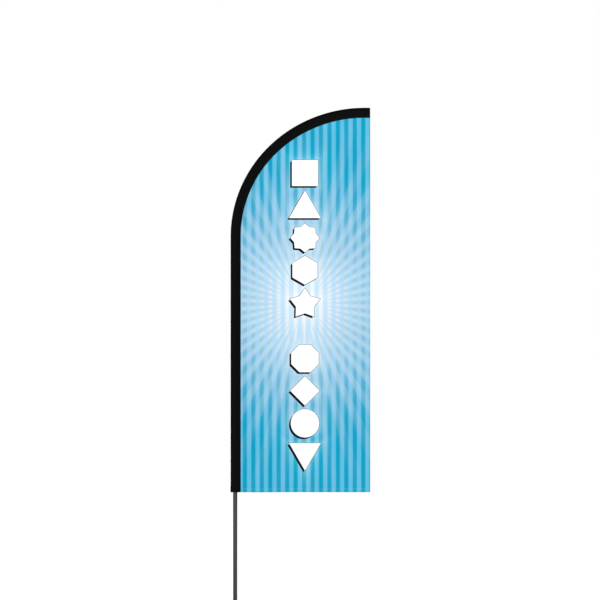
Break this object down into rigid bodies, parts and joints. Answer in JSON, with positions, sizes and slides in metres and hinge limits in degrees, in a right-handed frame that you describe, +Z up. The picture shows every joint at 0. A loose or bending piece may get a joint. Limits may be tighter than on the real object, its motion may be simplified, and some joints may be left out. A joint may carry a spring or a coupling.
{
  "type": "feather flag on a folding cross base",
  "caption": "Feather-shaped cloth flag on a sectional pole that turns on a spindle, standing on a folding cross base.",
  "frame": {"origin": "on the spindle's axis, at the underside of the hub's rubber pad, which is floor level", "axes": "+Z up along the pole, +X from the pole towards the flag's free edge, -Y out of the flag's front"},
  "size_m": [0.8974, 0.6158, 2.299],
  "materials": {
    "printed_cloth": "matte",
    "black_cloth": "matte",
    "black_tube": "satin",
    "insert_aluminium": "satin",
    "glass_fibre": "satin",
    "black_paint": "satin",
    "bare_steel": "satin",
    "zinc_plate": "satin",
    "black_rubber": "matte",
    "black_plastic": "satin"
  },
  "bodies": {
    "base": {"flange_screw_1": "zinc_plate", "flange_screw_2": "zinc_plate", "flange_screw_3": "zinc_plate", "flange_screw_4": "zinc_plate", "hub_bottom_plate": "black_paint", "hub_pad": "black_rubber", "hub_top_plate": "black_paint", "lower_bearing_outer_ring": "bare_steel", "pivot_bolt_front_left": "zinc_plate", "pivot_bolt_front_right": "zinc_plate", "pivot_bolt_rear_left": "zinc_plate", "pivot_bolt_rear_right": "zinc_plate", "pivot_nut_front_left": "zinc_plate", "pivot_nut_front_right": "zinc_plate", "pivot_nut_rear_left": "zinc_plate", "pivot_nut_rear_right": "zinc_plate", "spindle_housing": "black_paint", "stop_pin_front_left": "zinc_plate", "stop_pin_front_right": "zinc_plate", "stop_pin_rear_left": "zinc_plate", "stop_pin_rear_right": "zinc_plate", "upper_bearing_outer_ring": "bare_steel"},
    "leg_rear_right": {"boot_rear_right": "black_rubber", "leg_rear_right": "black_paint"},
    "leg_rear_left": {"boot_rear_left": "black_rubber", "leg_rear_left": "black_paint"},
    "leg_front_left": {"boot_front_left": "black_rubber", "leg_front_left": "black_paint"},
    "leg_front_right": {"boot_front_right": "black_rubber", "leg_front_right": "black_paint"},
    "spindle": {"bearing_spacer": "bare_steel", "grip_ring_1": "black_rubber", "grip_ring_2": "black_rubber", "lower_bearing_balls": "bare_steel", "lower_bearing_inner_ring": "bare_steel", "spindle": "zinc_plate", "spindle_nut": "zinc_plate", "spindle_washer": "zinc_plate", "upper_bearing_balls": "bare_steel", "upper_bearing_inner_ring": "bare_steel"},
    "lower_pole": {"lower_joint_insert": "insert_aluminium", "lower_joint_pin": "zinc_plate", "lower_pole_tube": "black_tube", "pole_collar": "black_plastic"},
    "middle_pole": {"middle_pole_tube": "black_tube", "upper_joint_insert": "insert_aluminium", "upper_joint_pin": "zinc_plate"},
    "flag": {"curved_rod": "glass_fibre", "flag_panel": "printed_cloth", "pole_sleeve": "black_cloth", "rod_socket": "black_tube", "tip_cap": "black_plastic", "tip_pocket": "black_cloth"}
  },
  "joints": [
    {"name": "spindle_spin", "type": "hinge", "parent": "base", "child": "spindle", "pos_m": [0, 0, 0.06], "axis": [0, 0, 1], "continuous": true},
    {"name": "pole_lift", "type": "slide", "parent": "spindle", "child": "lower_pole", "axis": [0, 0, 1], "range_m": [0, 0.12]},
    {"name": "lower_joint_pull", "type": "slide", "parent": "lower_pole", "child": "middle_pole", "axis": [0, 0, 1], "range_m": [0, 0.08]},
    {"name": "upper_joint_pull", "type": "slide", "parent": "middle_pole", "child": "flag", "axis": [0, 0, 1], "range_m": [0, 0.08]},
    {"name": "leg_rear_right_fold", "type": "hinge", "parent": "base", "child": "leg_rear_right", "pos_m": [0.045, 0.045, 0.02], "axis": [0, 0, 1], "range_deg": [0, 45]},
    {"name": "leg_rear_left_fold", "type": "hinge", "parent": "base", "child": "leg_rear_left", "pos_m": [-0.045, 0.045, 0.02], "axis": [0, 0, -1], "range_deg": [0, 45]},
    {"name": "leg_front_left_fold", "type": "hinge", "parent": "base", "child": "leg_front_left", "pos_m": [-0.045, -0.045, 0.02], "axis": [0, 0, 1], "range_deg": [0, 45]},
    {"name": "leg_front_right_fold", "type": "hinge", "parent": "base", "child": "leg_front_right", "pos_m": [0.045, -0.045, 0.02], "axis": [0, 0, -1], "range_deg": [0, 45]}
  ]
}
